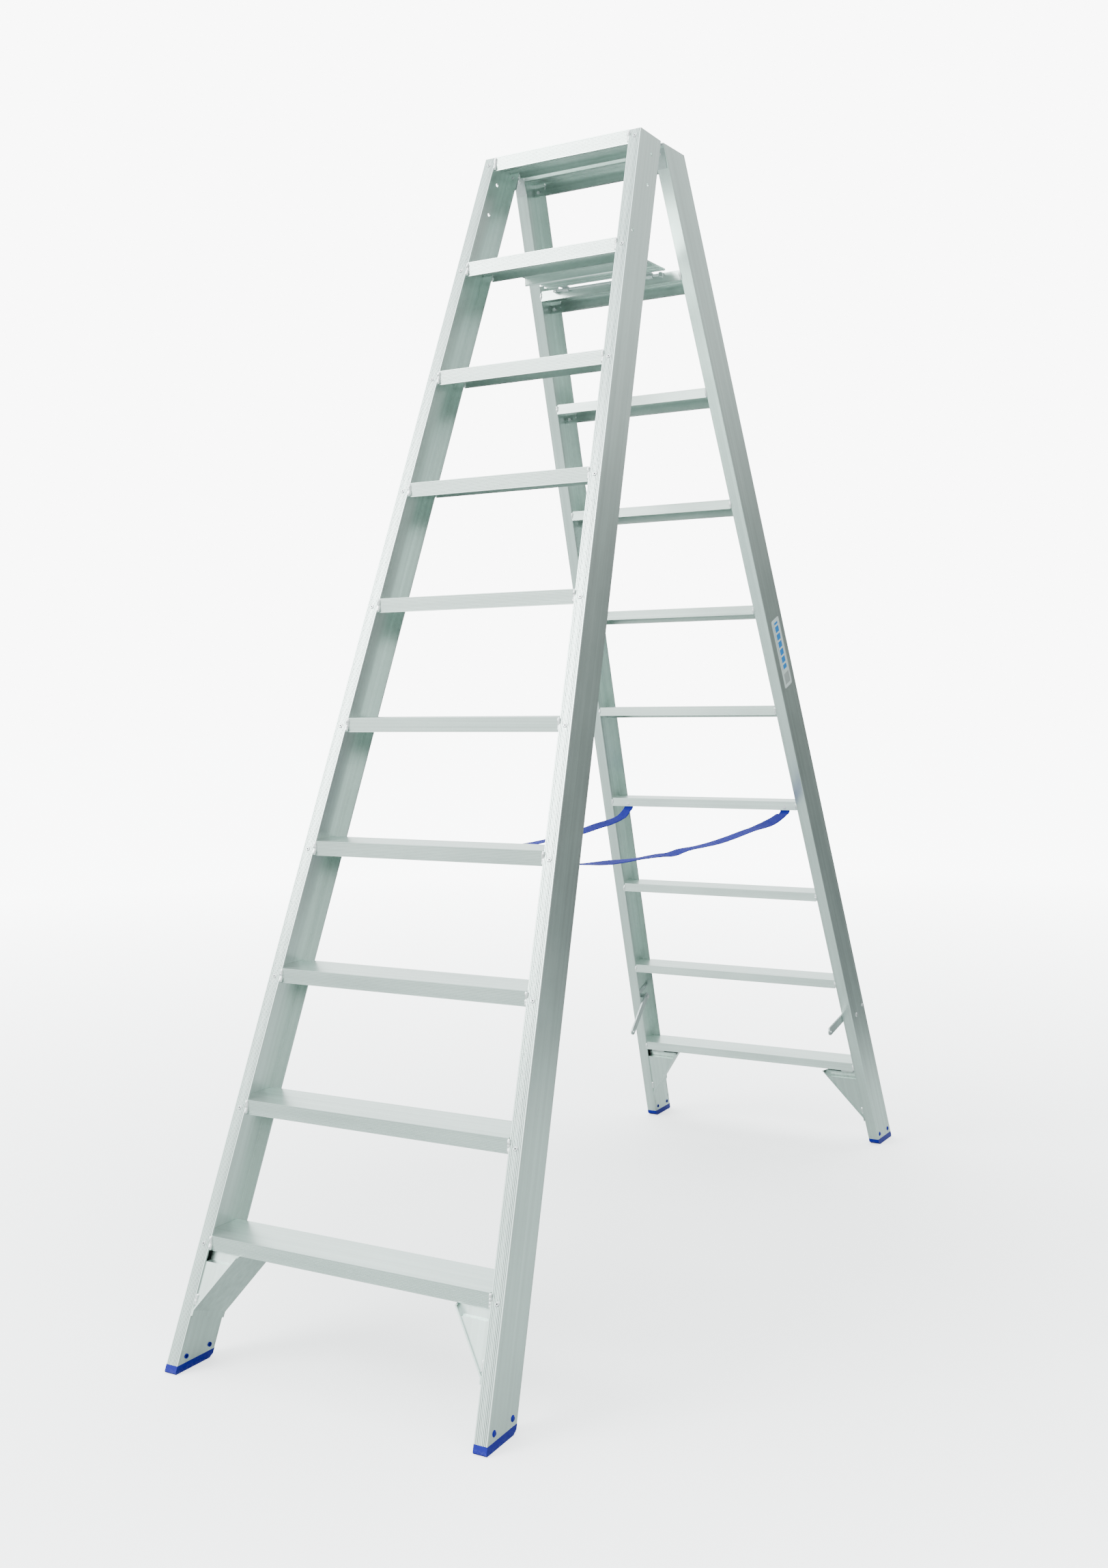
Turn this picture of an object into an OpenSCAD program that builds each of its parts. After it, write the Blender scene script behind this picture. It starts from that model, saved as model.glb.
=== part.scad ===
// Double-sided aluminium step ladder. Two equal frames lean on each other and are
// joined by a hinge at each top corner. Each frame has two channel stiles that
// spread towards the floor, with deep channel treads riveted and welded between
// them. Blue caps and corner braces close the stile feet, two webbing straps hold
// the frames apart, a flap shelf spans the gap one tread below the top, and a
// locking arm swings on each rear stile.
// X is to the right, -Y is the front, Z is up, and the floor is Z = 0.

/* [Overall] */
// Treads on each side, with the top one
tread_count = 10; // [6:1:12]
// Height from one tread to the next
rise = 235; // [190:1:290]
// Lean of each frame from upright
lean = 21.6; // [17:0.1:26]
// Width over the stiles at the top
top_w = 366; // [300:1:460]
// Width over the stiles at the floor
base_w = 687; // [560:1:840]
// Gap between the two frames at the top
hinge_gap = 10.9; // [10:0.1:16]

/* [Stiles] */
// Depth of a stile, from the face under the ladder to the outer face
stile_d = 90; // [75:1:110]
// Width of a stile's flanges
flange_w = 26.5; // [22:0.5:34]
// Thickness of the flanges
flange_t = 3; // [2:0.1:4]
// Thickness of the web
web_t = 3; // [2:0.1:4]
// Rounding of the stile's long edges
stile_round = 1.2; // [0.5:0.1:1.4]
// Grooves along the outer flange
stile_grooves = 7; // [0:1:8]
// Width of a groove
groove_w = 1.1; // [0.6:0.1:1.6]
// Depth of a groove
groove_t = 0.6; // [0.3:0.1:1]
// Diameter of the accessory holes at the top of the front stiles
accessory_d = 8; // [5:0.5:12]

/* [Treads] */
// Thickness of the tread plate
plate_t = 2.5; // [2:0.1:4]
// Height of the front apron
apron_h = 28; // [20:1:34]
// Thickness of the front apron
apron_t = 3; // [2:0.1:4]
// How far the apron stands proud of the stiles at the tread's top
apron_proud = 3; // [1:0.5:5]
// Height of the heel lip
lip_h = 21; // [14:0.5:22]
// Thickness of the heel lip
lip_t = 2.5; // [2:0.1:4]
// How far the heel sits inside the stiles at the tread's top
heel_in = 4; // [3:0.5:8]
// Flutes along the apron's face
apron_flutes = 9; // [0:1:10]
// Stiffening ribs under the tread
tread_ribs = 3; // [0:1:5]
// Height of a stiffening rib
rib_h = 4; // [2:0.5:8]
// Gap left for the weld between a tread's apron and the flange edge
weld_gap = 1; // [0.5:0.1:3]

/* [Tread rivets] */
// Diameter of a rivet's shank
rivet_d = 4.8; // [4:0.1:6]
// Diameter of a rivet's head
rivet_head_d = 9; // [8:0.5:12]
// Distance of a tread rivet below the tread's top
rivet_drop = 15.6; // [12:0.1:18]
// Distance of a tread rivet from the stile's outer edge
rivet_in = 12.7; // [10:0.1:15]

/* [Feet] */
// Height of a foot cap below the stile
cap_h = 15; // [10:1:25]
// Height of the plug inside the stile
plug_h = 34; // [30:1:50]
// Chamfer along the sole on the inner side
sole_cut = 8; // [3:0.5:12]
// Chamfer along the sole on the outer side
toe_cut = 3; // [1:0.5:6]
// Height of the foot pins above the floor
foot_pin_z = 28; // [26:0.5:34]
// Distance of each foot pin from the nearer face of the stile
foot_pin_in = 17; // [14:0.5:25]
// Diameter of a foot pin
foot_pin_d = 9; // [6:0.5:10]
// Thickness of the insert that closes the stile's open side
insert_t = 2; // [1.5:0.1:3]
// Height of the insert above the floor, at the outer face
insert_z = 100; // [80:1:104]
// Length of the insert's legs along the flanges
insert_leg = 9; // [6:0.5:11]

/* [Corner braces] */
// Height of the brace's bend above the floor, at the outer face
brace_z = 110; // [106:1:130]
// Length of the leg below the bend
brace_leg = 11; // [8:1:20]
// Thickness of the brace
brace_t = 3; // [2:0.1:4]
// Angle of the brace above the horizontal
brace_angle = 59; // [50:1:68]
// Gap between the top of the brace and the apron above it
brace_gap = 2; // [1:0.5:6]
// Gap between the top of the side webs and the apron above them
brace_web_gap = 17; // [10:1:30]
// Recess of the side webs from the stile's faces
brace_recess = 3; // [1:0.5:6]
// Depth of the folded lip at the top of the side webs
brace_fold = 14; // [6:1:20]

/* [Top hinges] */
// Diameter of the hinge pin
hinge_pin_d = 4; // [3:0.1:5]
// Outer diameter of the hinge barrel
barrel_d = 7; // [6:0.1:7.4]
// Height of the barrel's centre below the top
hinge_drop = 5; // [4:0.5:8]
// Width of a hinge leaf
leaf_w = 24; // [18:1:25]
// Length of the leaf plate down the stile
leaf_h = 40; // [25:1:60]
// Thickness of a hinge leaf
leaf_t = 2; // [1.5:0.1:2.5]
// Distance of the leaf's rivet below the top
leaf_rivet_drop = 21; // [18:0.5:30]

/* [Shelf] */
// Width of the shelf
shelf_w = 288; // [240:1:300]
// Thickness of the shelf plate
shelf_t = 3.5; // [2.5:0.1:5]
// How far the shelf rests on the front tread
shelf_rest = 12; // [6:1:16]
// Depth of the rounded lip under the shelf
shelf_lip_h = 16; // [8:0.5:18]
// Thickness of the rounded lip
shelf_lip_t = 6; // [4:0.5:8]
// Distance of the lip's centre in front of the hinge line of the frames
shelf_lip_y = 13.5; // [5:0.5:30]
// Diameter of the rod that the shelf swings on
shelf_rod_d = 6; // [5:0.5:7]
// Distance of the clips from the middle
clip_x = 104; // [60:1:112]
// Distance of the rod's lugs from the middle
lug_x = 130; // [118:1:134]
// Width of a clip
clip_w = 14; // [8:1:20]
// Width of a lug
lug_w = 6; // [4:1:10]

/* [Locking arms] */
// Height of an arm's pivot above the first tread
latch_up = 136; // [90:1:160]
// Height of the second rivet above the pivot
latch_rise = 18; // [10:1:24]
// Distance of the pivot from the stile's inner face
latch_in = 30.6; // [25:0.1:40]
// Distance of the second rivet from the stile's outer face
latch_far = 10.7; // [10.2:0.1:16]
// Length of an arm between its end centres
arm_l = 113; // [80:1:120]
// Width of an arm
arm_w = 20; // [16:1:24]
// Thickness of an arm
arm_t = 4; // [3:0.1:6]
// Angle of the right arm below the horizontal
right_arm_angle = 11.7; // [0:0.1:70]
// Angle of the left arm below the horizontal
left_arm_angle = 48; // [0:0.1:70]
// Diameter of an arm's pivot bolt
latch_bolt_d = 6; // [5:0.5:8]

/* [Straps] */
// Tread that the straps hang from, counted from the floor
strap_level = 4; // [2:1:6]
// Distance of the right strap from the middle
right_strap_x = 223; // [150:1:230]
// Distance of the left strap from the middle
left_strap_x = 207; // [150:1:230]
// Width of the webbing
strap_w = 25; // [20:1:30]
// Thickness of the webbing
strap_t = 2; // [1.5:0.1:2.5]
// Diameter of the washer that clamps a strap
strap_washer_d = 15; // [12:1:18]

/* [Fits] */
// Clearance round a tread or an insert inside a stile
fit = 0.3; // [0.2:0.05:0.6]
// Radial clearance of a pin or a rivet in its hole
pin_fit = 0.05; // [0.02:0.01:0.1]
// Clearance between parts that slide past each other
slide_fit = 0.4; // [0.3:0.05:0.8]

/* [Hidden] */
$fn = 48;
height = rise * tread_count;
far_run = stile_d / cos(lean);
splay = atan((base_w - top_w) / 2 * cos(lean) / height);
stile_l = height / cos(lean) / cos(splay);
over = stile_d;
wide = base_w + 4 * over;
rivet_r = rivet_d / 2;
rivet_head_r = rivet_head_d / 2;
head_t = 1.6;
mandrel_r = 1.1;
tail_r = 3.6;
tail_t = 3;
foot_pin_r = foot_pin_d / 2;
sole_rise = 6;
hinge_pin_r = hinge_pin_d / 2;
barrel_r = barrel_d / 2;
barrel_z = height - hinge_drop;
leaf_in = 1;
leaf_top = 10;
knuckle_w = leaf_w / 3;
neck_t = 2;
leaf_rivet_r = 2;
leaf_head_r = 3.8;
shelf_level = rise * (tread_count - 1);
shelf_rod_r = shelf_rod_d / 2;
clip_wall = 2.5;
clip_t = 3;
clip_tab = 18;
latch_z = rise + latch_up;
latch_plate_t = 2;
latch_plate_r = 7;
latch_bolt_r = latch_bolt_d / 2;
strap_z = rise * strap_level;
strap_rivet_drop = 14;
strap_skin = 0.1;

silver = [0.80, 0.83, 0.82];
grey = [0.62, 0.68, 0.66];
steel = [0.70, 0.72, 0.74];
blue = [0.02, 0.12, 0.72];

// Shape of each strap: fraction of the way from the middle to the tread, then the
// drop below the tread's top.
right_strap_shape = [
    [-0.97, 31], [-0.90, 41], [-0.78, 49], [-0.58, 56], [-0.41, 60], [-0.24, 63],
    [-0.12, 66], [-0.04, 63], [0.12, 63.5], [0.26, 63], [0.42, 59], [0.58, 53],
    [0.72, 49], [0.82, 45], [0.90, 39], [0.97, 31]
];
left_strap_shape = [
    [-0.97, 34], [-0.90, 44], [-0.78, 54], [-0.58, 62], [-0.41, 67], [-0.20, 71],
    [0.02, 74], [0.16, 72.5], [0.30, 71], [0.46, 69], [0.59, 64], [0.70, 58.5],
    [0.82, 54], [0.90, 49], [0.95, 43], [0.978, 35]
];

// Half of the width over the stiles at a height.
function half_w(z) = top_w / 2 + (base_w - top_w) / 2 * (height - z) / height;

// Distance of a frame's inner and outer face from the middle plane at a height.
function near_y(z) = hinge_gap / 2 + (height - z) * tan(lean);
function far_y(z) = near_y(z) + far_run;

// Place along a stile that lies at a height, for a point x across and y deep.
function station(z, x, y) =
    ((z - height - y * sin(lean)) / cos(lean) - x * sin(splay)) / cos(splay);

// Distance along y of a tread's heel lip from the middle plane.
function heel_y(level) = near_y(rise * level) + heel_in;

// Outline of a band of thickness t along a line of points.
function unit(v) = v / norm(v);
function across(p, i) =
    let (d = unit(p[min(i + 1, len(p) - 1)] - p[max(i - 1, 0)])) [-d[1], d[0]];
function band(p, t) = concat(
    [for (i = [0 : len(p) - 1]) p[i] + across(p, i) * t / 2],
    [for (i = [len(p) - 1 : -1 : 0]) p[i] - across(p, i) * t / 2]
);

// Middle line of a strap, from the front tread's lip to the rear tread's lip.
strap_face_y = heel_y(strap_level) + lip_t + strap_skin + strap_t / 2;
strap_end = [
    [0, strap_z - plate_t - 1.5],
    [0, strap_z - lip_h - 0.5],
    [-1.2, strap_z - lip_h - 3.8],
    [-5, strap_z - lip_h - 6.5]
];
function strap_line(shape) = concat(
    [for (p = strap_end) [-strap_face_y - p[0], p[1]]],
    [for (s = shape) [s[0] * near_y(strap_z), strap_z - s[1]]],
    [for (i = [len(strap_end) - 1 : -1 : 0]) strap_end[i] + [strap_face_y, 0]]
);

levels = [1 : tread_count];
sides = ["left", "right"];
ends = ["front", "rear"];

function tread_name(end, level) =
    level == tread_count ? str(end, "_top_tread") : str(end, "_tread_", level);

// Everything is drawn for the right side of the rear frame and mirrored from there.
module on_end(end) {
    if (end == "rear") {
        children();
    } else {
        mirror([0, 1, 0]) children();
    }
}

module on_side(side) {
    if (side == "right") {
        children();
    } else {
        mirror([1, 0, 0]) children();
    }
}

module both_sides() {
    children();
    mirror([1, 0, 0]) children();
}

// Space of the leaning frame: z runs up the slope and y = 0 is the inner face.
module frame_space() {
    translate([0, hinge_gap / 2, height]) rotate([lean, 0, 0]) children();
}

// Space of the right stile: x = 0 is the outer face of the web.
module stile_space() {
    frame_space() translate([top_w / 2, 0, 0]) rotate([0, -splay, 0]) children();
}

// Box between two corners.
module box(low, high) {
    translate(low) cube(high - low);
}

// Slab of the world between two heights.
module slab(low_z, high_z) {
    box([-wide, -wide * 4, low_z], [wide, wide * 4, high_z]);
}

// Outline in y and z, drawn out along x.
module along_x(x0, x1) {
    translate([x0, 0, 0]) rotate([90, 0, 90]) linear_extrude(x1 - x0) children();
}

// Outline in x and z, drawn out along y.
module along_y(y0, y1) {
    translate([0, y1, 0]) rotate([90, 0, 0]) linear_extrude(y1 - y0) children();
}

module rod_x(r, x0, x1) {
    translate([x0, 0, 0]) rotate([0, 90, 0]) cylinder(r = r, h = x1 - x0);
}

module rod_y(r, y0, y1) {
    translate([0, y0, 0]) rotate([-90, 0, 0]) cylinder(r = r, h = y1 - y0);
}

// ---- stiles ----

module stile_section() {
    difference() {
        offset(r = stile_round, $fn = 16) offset(delta = -stile_round) {
            translate([-flange_w, 0]) square([flange_w, stile_d]);
        }
        translate([-flange_w - 1, flange_t]) {
            square([flange_w + 1 - web_t, stile_d - 2 * flange_t]);
        }
        for (i = [1 : 1 : stile_grooves]) {
            translate([-flange_w * i / (stile_grooves + 1) - groove_w / 2, stile_d - groove_t]) {
                square([groove_w, groove_t + 1]);
            }
        }
    }
}

// Places of the accessory holes: depth from the inner face, distance down the slope.
accessory_places = [[35, 59], [36.5, 132.7], [76, 267]];

module tread_rivet_place(level) {
    z = rise * level - rivet_drop;
    translate([-rivet_in, stile_d, station(z, -rivet_in, stile_d)]) children();
}

module foot_pin_places() {
    for (y = [foot_pin_in, stile_d - foot_pin_in]) {
        translate([0, y, station(foot_pin_z, 0, y)]) children();
    }
}

module leaf_rivet_place() {
    frame_space() {
        translate([top_w / 2 - leaf_in - leaf_w / 2, 0, -leaf_rivet_drop]) children();
    }
}

module latch_pivot_place() {
    translate([0, latch_in, station(latch_z, 0, latch_in)]) children();
}

module latch_far_place() {
    translate([0, stile_d - latch_far, station(latch_z + latch_rise, 0, stile_d - latch_far)]) {
        children();
    }
}

module stile(end, side) {
    on_end(end) on_side(side) color(silver) difference() {
        intersection() {
            stile_space() translate([0, 0, -stile_l - over]) {
                linear_extrude(stile_l + 2 * over) stile_section();
            }
            slab(cap_h, height);
        }
        stile_space() {
            for (k = levels) {
                tread_rivet_place(k) rod_y(rivet_r + pin_fit, -flange_t - 1, 1);
            }
            foot_pin_places() rod_x(foot_pin_r + pin_fit, -web_t - 1, 1);
            if (end == "front") {
                for (p = accessory_places) {
                    translate([0, p[0], -p[1]]) rod_x(accessory_d / 2, -web_t - 1, 1);
                }
            }
            if (end == "rear") {
                latch_pivot_place() rod_x(latch_bolt_r + pin_fit, -web_t - 1, 1);
                latch_far_place() rod_x(rivet_r + pin_fit, -web_t - 1, 1);
            }
        }
        leaf_rivet_place() rod_y(leaf_rivet_r + pin_fit, -1, flange_t + 1);
    }
}

// ---- treads ----

// Section of a tread in y and z, from the heel's inner face at the tread's top.
tread_d = far_run + apron_proud - heel_in;

module tread_section() {
    difference() {
        union() {
            translate([0, -plate_t]) square([tread_d, plate_t]);
            translate([0, -lip_h]) square([lip_t, lip_h]);
            translate([tread_d - apron_t, -apron_h]) square([apron_t, apron_h]);
            translate([tread_d - 2 * apron_t, -apron_h]) square([2 * apron_t, plate_t]);
            for (i = [1 : 1 : tread_ribs]) {
                translate([tread_d * i / (tread_ribs + 1) - 1, -plate_t - rib_h]) {
                    square([2, rib_h + plate_t / 2]);
                }
            }
        }
        for (i = [1 : 1 : apron_flutes]) {
            translate([tread_d - groove_t, -apron_h * i / (apron_flutes + 1) - groove_w / 2]) {
                square([groove_t + 1, groove_w]);
            }
        }
    }
}

// Space that a stile takes from the end of a tread.
module stile_room() {
    stile_space() {
        box([-flange_w - weld_gap, -over, -stile_l - over], [over, flange_t + fit, over]);
        box(
            [-flange_w - weld_gap, stile_d - flange_t - fit, -stile_l - over],
            [over, stile_d + over, over]
        );
        box([-web_t - fit, -over, -stile_l - over], [over, stile_d + over, over]);
    }
}

module tread(end, level) {
    z = rise * level;
    reach = half_w(z - apron_h) + flange_w;
    on_end(end) color(silver) difference() {
        translate([0, heel_y(level), z]) along_x(-reach, reach) tread_section();
        both_sides() stile_room();
        both_sides() stile_space() tread_rivet_place(level) {
            rod_y(rivet_r + pin_fit, -4 * flange_t, 1);
        }
        if (level == strap_level) {
            for (side = sides) on_side(side) strap_rivet_place(side) {
                rod_y(rivet_r + pin_fit, -1, lip_t + 1);
            }
        }
    }
}

// Depth behind the flange at which a tread rivet's tail clears the apron.
tail_y = (rivet_drop * tan(lean) - apron_proud + apron_t) / cos(lean)
    + tail_r * tan(lean) + fit;

module tread_rivets(end) {
    on_end(end) color(steel) both_sides() stile_space() for (k = levels) {
        tread_rivet_place(k) difference() {
            union() {
                rod_y(rivet_r, -tail_y - 1, 1);
                rotate([-90, 0, 0]) {
                    cylinder(r1 = rivet_head_r, r2 = rivet_head_r - 1.2, h = head_t);
                }
                rod_y(tail_r, -tail_y - tail_t, -tail_y);
            }
            rod_y(mandrel_r, head_t - 1, head_t + 1);
        }
    }
}

// ---- feet ----

module foot(end, side) {
    inner = flange_t + insert_t + 2 * fit;
    on_end(end) on_side(side) color(blue) difference() {
        union() {
            intersection() {
                along_x(0, wide) polygon([
                    [near_y(cap_h), cap_h],
                    [near_y(sole_rise), sole_rise],
                    [near_y(0) + sole_cut, 0],
                    [far_y(0) - toe_cut, 0],
                    [far_y(toe_cut), toe_cut],
                    [far_y(cap_h), cap_h]
                ]);
                stile_space() {
                    box([-flange_w, -over, -stile_l - over], [0, stile_d + over, over]);
                }
            }
            intersection() {
                stile_space() box(
                    [-flange_w + insert_t + fit, inner, -stile_l - over],
                    [-web_t - fit, stile_d - inner, over]
                );
                slab(cap_h / 2, cap_h + plug_h);
            }
        }
        stile_space() foot_pin_places() rod_x(foot_pin_r + pin_fit, -flange_w - 1, 1);
    }
}

// Hollow pins: a domed head outside, and a ring that shows on the inboard side.
module foot_pins(end) {
    on_end(end) color(blue) both_sides() stile_space() foot_pin_places() difference() {
        union() {
            rod_x(foot_pin_r, -flange_w - 1.5, 0.5);
            rotate([0, 90, 0]) cylinder(r1 = foot_pin_r + 1.5, r2 = foot_pin_r - 1, h = 2);
        }
        rod_x(foot_pin_r - 1.6, -flange_w - 2.5, -web_t);
    }
}

// Channel that closes the open side of a stile above its foot.
module insert(end, side) {
    deep = stile_d - 2 * flange_t - 2 * fit;
    top = station(insert_z, -flange_w, stile_d);
    slot_w = 5;
    on_end(end) on_side(side) color(grey) difference() {
        intersection() {
            stile_space() translate([-flange_w, flange_t + fit, -stile_l - over]) {
                linear_extrude(top + stile_l + over) difference() {
                    square([insert_leg, deep]);
                    translate([insert_t, insert_t]) {
                        square([insert_leg, deep - 2 * insert_t]);
                    }
                }
            }
            slab(cap_h, height);
        }
        intersection() {
            slab(foot_pin_z + 11, foot_pin_z + 21);
            stile_space() for (y = [flange_t, stile_d - flange_t - slot_w]) {
                box(
                    [-flange_w - 1, y, -stile_l - over],
                    [-flange_w + insert_t / 2, y + slot_w, over]
                );
            }
        }
        stile_space() foot_pin_places() {
            rod_x(foot_pin_r + pin_fit, -flange_w - 1, -flange_w + insert_t + 1);
        }
    }
}

// ---- corner braces ----

// Plate across the corner between a stile and the first tread, with a web on each
// side whose top edge is folded inwards.
module brace(end, side) {
    foot_s = station(brace_z, -flange_w, stile_d);
    top_z = rise - apron_h - brace_gap;
    web_z = rise - apron_h - brace_web_gap;
    run = rise;
    dx = run * cos(brace_angle);
    dz = run * sin(brace_angle);
    wall_x = brace_t / sin(brace_angle);
    riser_y = brace_recess + brace_fold - brace_t;
    on_end(end) on_side(side) color(silver) {
        intersection() {
            stile_space() along_y(0, stile_d) polygon([
                [-flange_w, foot_s - brace_leg],
                [-flange_w, foot_s],
                [-flange_w - dx, foot_s + dz],
                [-flange_w - dx - wall_x, foot_s + dz],
                [-flange_w - brace_t, foot_s - (wall_x - brace_t) * tan(brace_angle)],
                [-flange_w - brace_t, foot_s - brace_leg]
            ]);
            slab(0, top_z);
        }
        intersection() {
            stile_space() for (y = [brace_recess, stile_d - brace_recess - brace_t]) {
                along_y(y, y + brace_t) brace_web_outline(foot_s, dx, dz);
            }
            slab(0, web_z);
        }
        intersection() {
            stile_space() for (y = [brace_recess, stile_d - brace_recess - brace_fold]) {
                along_y(y, y + brace_fold) brace_web_outline(foot_s, dx, dz);
            }
            slab(web_z - brace_t, web_z);
        }
        intersection() {
            stile_space() for (y = [riser_y, stile_d - riser_y - brace_t]) {
                along_y(y, y + brace_t) brace_web_outline(foot_s, dx, dz);
            }
            slab(web_z - brace_t, top_z);
        }
    }
}

module brace_web_outline(foot_s, dx, dz) {
    polygon([
        [-flange_w, foot_s - 1],
        [-flange_w, foot_s + dz],
        [-flange_w - dx - 1, foot_s + dz],
        [-flange_w - 1, foot_s - 1]
    ]);
}

// ---- top hinges ----

// Centre of the barrel in the frame's own space, and the way from the leaf to it.
barrel_at = [
    -hinge_gap / 2 * cos(lean) - hinge_drop * sin(lean),
    hinge_gap / 2 * sin(lean) - hinge_drop * cos(lean)
];
neck_from = [-leaf_t / 2, -leaf_top];
neck_side = [
    unit(barrel_at - neck_from)[1] * neck_t / 2,
    -unit(barrel_at - neck_from)[0] * neck_t / 2
];

// The rear leaf has the middle knuckle, and the front leaf the two outer ones.
function knuckles(end) = end == "rear" ? [1] : [0, 2];

module hinge_leaf(end, side) {
    x0 = top_w / 2 - leaf_in - leaf_w;
    on_end(end) on_side(side) color(steel) difference() {
        union() {
            frame_space() box(
                [x0, -leaf_t, -leaf_top - leaf_h],
                [x0 + leaf_w, 0, -leaf_top]
            );
            for (i = knuckles(end)) {
                a = x0 + i * knuckle_w + slide_fit / 2;
                b = x0 + (i + 1) * knuckle_w - slide_fit / 2;
                frame_space() along_x(a, b) polygon([
                    neck_from - neck_side,
                    neck_from + neck_side,
                    barrel_at + neck_side,
                    barrel_at - neck_side
                ]);
                translate([0, 0, barrel_z]) rod_x(barrel_r, a, b);
            }
        }
        translate([0, 0, barrel_z]) rod_x(hinge_pin_r + pin_fit, x0 - 1, x0 + leaf_w + 1);
        leaf_rivet_place() rod_y(leaf_rivet_r + pin_fit, -leaf_t - 1, 1);
    }
}

module hinge_pins() {
    x0 = top_w / 2 - leaf_in - leaf_w;
    color(steel) both_sides() translate([0, 0, barrel_z]) {
        rod_x(hinge_pin_r, x0 - 1, x0 + leaf_w + 1);
        rod_x(hinge_pin_r + 1, x0 - 1 - slide_fit, x0 - slide_fit / 2);
        rod_x(hinge_pin_r + 1, x0 + leaf_w + slide_fit / 2, x0 + leaf_w + 1 + slide_fit);
    }
}

module hinge_rivets(end) {
    on_end(end) color(steel) both_sides() leaf_rivet_place() {
        rod_y(leaf_rivet_r, -leaf_t - 1, flange_t + 1);
        translate([0, -leaf_t, 0]) rotate([90, 0, 0]) {
            cylinder(r1 = leaf_head_r, r2 = leaf_head_r - 1.2, h = 1.4);
        }
        rod_y(leaf_rivet_r + 1, flange_t, flange_t + 2.5);
    }
}

// ---- shelf ----

shelf_heel = heel_y(tread_count - 1);
rod_back = shelf_rod_r + clip_wall + 1.5;
rod_at = [shelf_heel - rod_back, shelf_level - 5];
shelf_under = shelf_level + fit;
shelf_front = -shelf_heel - shelf_rest;
shelf_rear = rod_at[0] - 6;

module shelf_plate() {
    lip_r = shelf_lip_t / 2;
    rib_count = 4;
    color(silver) {
        along_x(-shelf_w / 2, shelf_w / 2) {
            translate([shelf_front, shelf_under]) square([shelf_rear - shelf_front, shelf_t]);
            translate([-shelf_lip_y - lip_r, shelf_under - shelf_lip_h + lip_r]) {
                square([shelf_lip_t, shelf_lip_h - lip_r + shelf_t / 2]);
            }
            for (i = [1 : rib_count]) {
                y = -shelf_lip_y + (shelf_rear + shelf_lip_y) * i / (rib_count + 1);
                translate([y - 1, shelf_under - rib_h]) square([2, rib_h + shelf_t / 2]);
            }
        }
        translate([0, -shelf_lip_y, shelf_under - shelf_lip_h + lip_r]) {
            rod_x(lip_r, -shelf_w / 2, shelf_w / 2);
        }
    }
}

module shelf_clips() {
    color(steel) both_sides() difference() {
        union() {
            translate([0, rod_at[0], rod_at[1]]) {
                rod_x(shelf_rod_r + clip_wall, clip_x - clip_w / 2, clip_x + clip_w / 2);
            }
            box(
                [clip_x - clip_w / 2, rod_at[0] - clip_tab, shelf_under - clip_t],
                [clip_x + clip_w / 2, rod_at[0] - 1, shelf_under]
            );
        }
        translate([0, rod_at[0], rod_at[1]]) {
            rod_x(shelf_rod_r + pin_fit, clip_x - clip_w, clip_x + clip_w);
        }
        for (i = [1 : 4]) {
            y = -shelf_lip_y + (shelf_rear + shelf_lip_y) * i / 5;
            box(
                [clip_x - clip_w, y - 1 - fit, shelf_under - rib_h - 1],
                [clip_x + clip_w, y + 1 + fit, shelf_under + 1]
            );
        }
    }
}

module shelf_rod() {
    color(steel) translate([0, rod_at[0], rod_at[1]]) {
        rod_x(shelf_rod_r, -lug_x - lug_w, lug_x + lug_w);
    }
}

module shelf_lugs() {
    r = shelf_rod_r + 1.5;
    color(steel) both_sides() difference() {
        box(
            [lug_x - lug_w / 2, rod_at[0] - r, rod_at[1] - r],
            [lug_x + lug_w / 2, shelf_heel, rod_at[1] + r]
        );
        translate([0, rod_at[0], rod_at[1]]) {
            rod_x(shelf_rod_r + pin_fit, lug_x - lug_w, lug_x + lug_w);
        }
    }
}

// ---- locking arms ----

arm_x = flange_w + 1 + slide_fit;

module latch_brackets() {
    color(grey) both_sides() stile_space() difference() {
        union() {
            hull() {
                latch_pivot_place() rod_x(latch_plate_r, -web_t - latch_plate_t, -web_t, $fn = 32);
                latch_far_place() rod_x(latch_plate_r, -web_t - latch_plate_t, -web_t, $fn = 32);
            }
            latch_pivot_place() rod_x(latch_bolt_r + 3, -flange_w - 1, -web_t - 1);
        }
        latch_pivot_place() rod_x(latch_bolt_r + pin_fit, -flange_w - 2, 0);
        latch_far_place() rod_x(rivet_r + pin_fit, -web_t - latch_plate_t - 1, 0);
    }
}

module latch_arm(side) {
    drop = side == "right" ? right_arm_angle : left_arm_angle;
    on_side(side) color(grey) stile_space() latch_pivot_place() {
        rotate([180 + drop - lean, 0, 0]) difference() {
            union() {
                box([-arm_x - arm_t, 0, -arm_w / 2], [-arm_x, arm_l, arm_w / 2]);
                for (y = [0, arm_l]) {
                    translate([0, y, 0]) rod_x(arm_w / 2, -arm_x - arm_t, -arm_x);
                }
            }
            rod_x(latch_bolt_r + pin_fit, -arm_x - arm_t - 1, -arm_x + 1);
            translate([0, arm_l, 0]) rod_x(latch_bolt_r + 1, -arm_x - arm_t - 1, -arm_x + 1);
        }
    }
}

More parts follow.
